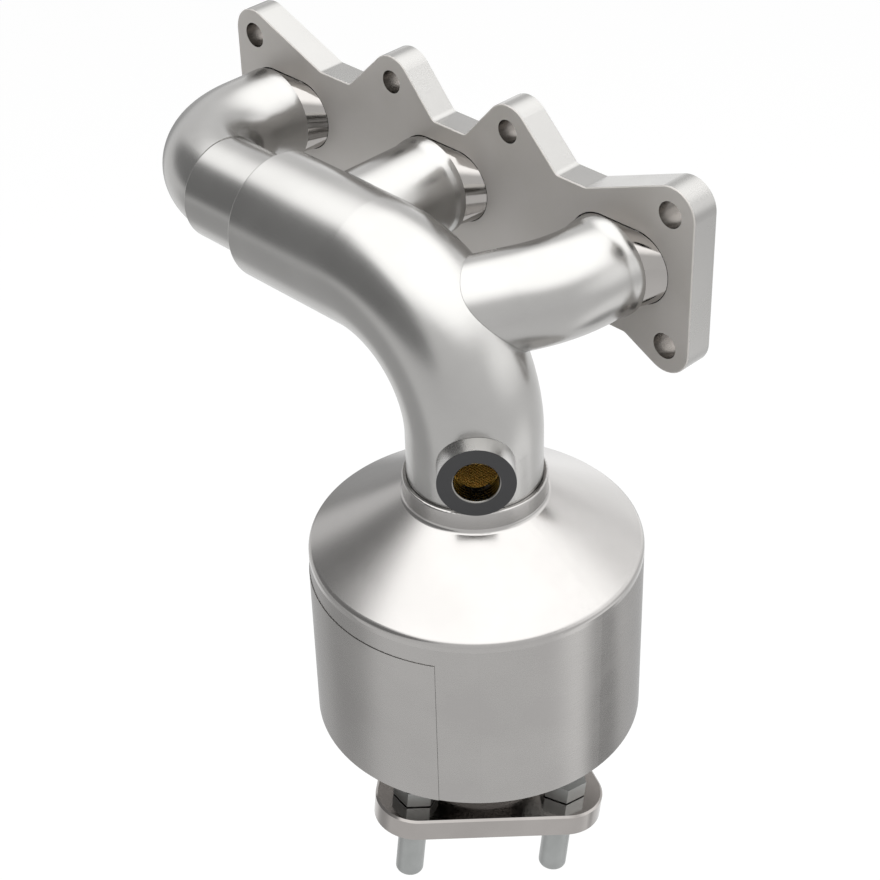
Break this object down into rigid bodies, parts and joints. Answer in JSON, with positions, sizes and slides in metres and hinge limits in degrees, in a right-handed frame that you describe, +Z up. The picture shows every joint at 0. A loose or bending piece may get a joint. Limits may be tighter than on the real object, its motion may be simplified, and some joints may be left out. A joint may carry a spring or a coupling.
{
  "type": "manifold catalytic converter",
  "caption": "Exhaust manifold with runners off a head flange joining a bent collector pipe that drops into a short round catalytic converter with a bolted outlet flange.",
  "frame": {"origin": "centre of the four outer stud holes on the head flange's mating face", "axes": "+X along the head flange, +Y out of its mating face towards the engine, +Z up along the converter's axis"},
  "size_m": [0.2581, 0.137, 0.2928],
  "materials": {
    "flange_steel": "satin",
    "outlet_flange_steel": "polished",
    "sleeve_steel": "polished",
    "tube_steel": "satin",
    "bung_steel": "machined",
    "shell_steel": "satin",
    "liner_steel": "satin",
    "honeycomb": "matte",
    "mat_fibre": "matte",
    "mesh_steel": "matte",
    "bolt_zinc": "zinc plated"
  },
  "bodies": {
    "root": {"head_flange": "flange_steel", "outlet_flange": "outlet_flange_steel", "port_sleeve_rear": "sleeve_steel", "port_sleeve_middle": "sleeve_steel", "port_sleeve_front": "sleeve_steel", "runner_rear": "tube_steel", "runner_middle": "tube_steel", "runner_front": "tube_steel", "link_pipe": "tube_steel", "collector_pipe": "tube_steel", "outlet_pipe": "tube_steel", "oxygen_sensor_bung": "bung_steel", "converter_shell": "shell_steel", "shell_wrap": "shell_steel", "inlet_cone": "shell_steel", "outlet_cone": "shell_steel", "inlet_liner": "liner_steel", "outlet_liner": "liner_steel", "honeycomb_brick": "honeycomb", "support_mat": "mat_fibre", "seal_ring_upper": "mesh_steel", "seal_ring_lower": "mesh_steel", "outlet_bolt_left": "bolt_zinc", "outlet_bolt_right": "bolt_zinc", "outlet_bolt_back": "bolt_zinc"}
  },
  "joints": []
}
